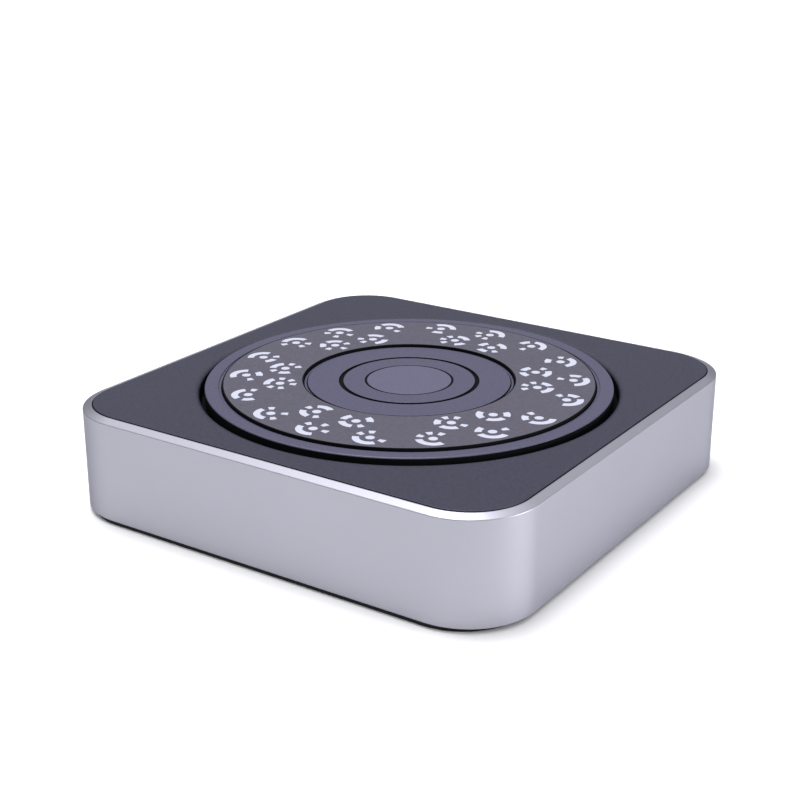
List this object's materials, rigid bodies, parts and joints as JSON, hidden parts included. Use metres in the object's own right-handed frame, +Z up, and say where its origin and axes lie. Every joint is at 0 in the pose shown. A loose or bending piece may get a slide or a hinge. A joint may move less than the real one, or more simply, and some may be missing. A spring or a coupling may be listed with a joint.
{
  "type": "scanner turntable",
  "caption": "Motorised turntable for a desktop 3-D scanner: flat square housing with a rotating round platter that carries a ring of printed tracking markers.",
  "frame": {"origin": "on the ground, under the middle of the square housing, on the platter's axis", "axes": "+Z up along the platter's axis, +Y towards the side with the ports, +X to the right seen from the front"},
  "size_m": [0.21, 0.21, 0.0481],
  "materials": {
    "silver_paint": "satin silver paint",
    "cover_grey": "fine matt texture",
    "platter_grey": "fine matt texture",
    "marker_print": "matt printed film",
    "black_steel": "black powder coat",
    "rubber": "matt",
    "black_plastic": "satin",
    "screw_steel": "zinc plated",
    "bright_steel": "ground",
    "cast_aluminium": "die cast",
    "bronze": "sintered",
    "brass": "machined",
    "acetal": "moulded",
    "board_green": "solder mask",
    "chip_black": "moulded",
    "cable_black": "flexible jacket"
  },
  "bodies": {
    "housing": {"side_frame": "silver_paint", "top_cover": "cover_grey", "base_plate": "black_steel", "foot_front_left": "rubber", "foot_front_right": "rubber", "foot_rear_right": "rubber", "foot_rear_left": "rubber", "base_screw_front_left": "screw_steel", "base_screw_front_right": "screw_steel", "base_screw_rear_right": "screw_steel", "base_screw_rear_left": "screw_steel", "bearing_pedestal": "cast_aluminium", "lower_bush": "bronze", "upper_bush": "bronze", "lower_thrust_washer": "bright_steel", "pedestal_screw_1": "screw_steel", "pedestal_screw_2": "screw_steel", "pedestal_screw_3": "screw_steel", "motor_rear_cap": "cast_aluminium", "motor_stator": "black_steel", "motor_front_cap": "cast_aluminium", "motor_bracket": "bright_steel", "motor_screw_1": "screw_steel", "motor_screw_2": "screw_steel", "motor_screw_3": "screw_steel", "motor_screw_4": "screw_steel", "bracket_screw_1": "screw_steel", "bracket_screw_2": "screw_steel", "control_board": "board_green", "usb_socket": "bright_steel", "power_jack": "black_plastic", "controller_chip": "chip_black", "motor_driver_chip": "chip_black", "driver_heatsink": "cast_aluminium", "smoothing_capacitor": "black_plastic", "motor_header": "acetal", "motor_lead": "cable_black", "switch_lead": "cable_black", "board_screw_1": "screw_steel", "board_screw_2": "screw_steel", "rear_port_panel": "black_plastic", "power_switch_housing": "black_plastic"},
    "turntable": {"platter": "platter_grey", "marker_ring": "marker_print", "centre_pad": "platter_grey", "platter_hub": "cast_aluminium", "spindle": "bright_steel", "spindle_retaining_ring": "bright_steel", "platter_screw_1": "screw_steel", "platter_screw_2": "screw_steel", "platter_screw_3": "screw_steel", "drive_gear": "acetal", "gear_screw_1": "screw_steel", "gear_screw_2": "screw_steel", "gear_screw_3": "screw_steel", "upper_thrust_washer": "bright_steel"},
    "motor_shaft": {"motor_rotor": "bright_steel", "motor_pinion": "brass"},
    "bearing_balls": {"ball_cage": "brass"},
    "switch_rocker": {"power_switch_rocker": "black_plastic"}
  },
  "joints": [
    {"name": "platter_spin", "type": "hinge", "parent": "housing", "child": "turntable", "pos_m": [0, 0, 0.0422], "axis": [0, 0, 1], "continuous": true},
    {"name": "motor_spin", "type": "hinge", "parent": "housing", "child": "motor_shaft", "pos_m": [-0.04667, -0.04667, 0.03], "axis": [0, 0, 1], "continuous": true},
    {"name": "ball_cage_spin", "type": "hinge", "parent": "housing", "child": "bearing_balls", "pos_m": [0, 0, 0.0322], "axis": [0, 0, 1], "continuous": true},
    {"name": "power_switch_tilt", "type": "hinge", "parent": "housing", "child": "switch_rocker", "pos_m": [0.024, 0.0988, 0.019], "axis": [0, 0, -1], "range_deg": [0, 16]}
  ],
  "couplings": [
    {"joint": "motor_spin", "follows": "platter_spin", "ratio": -4.5},
    {"joint": "ball_cage_spin", "follows": "platter_spin", "ratio": 0.5}
  ]
}
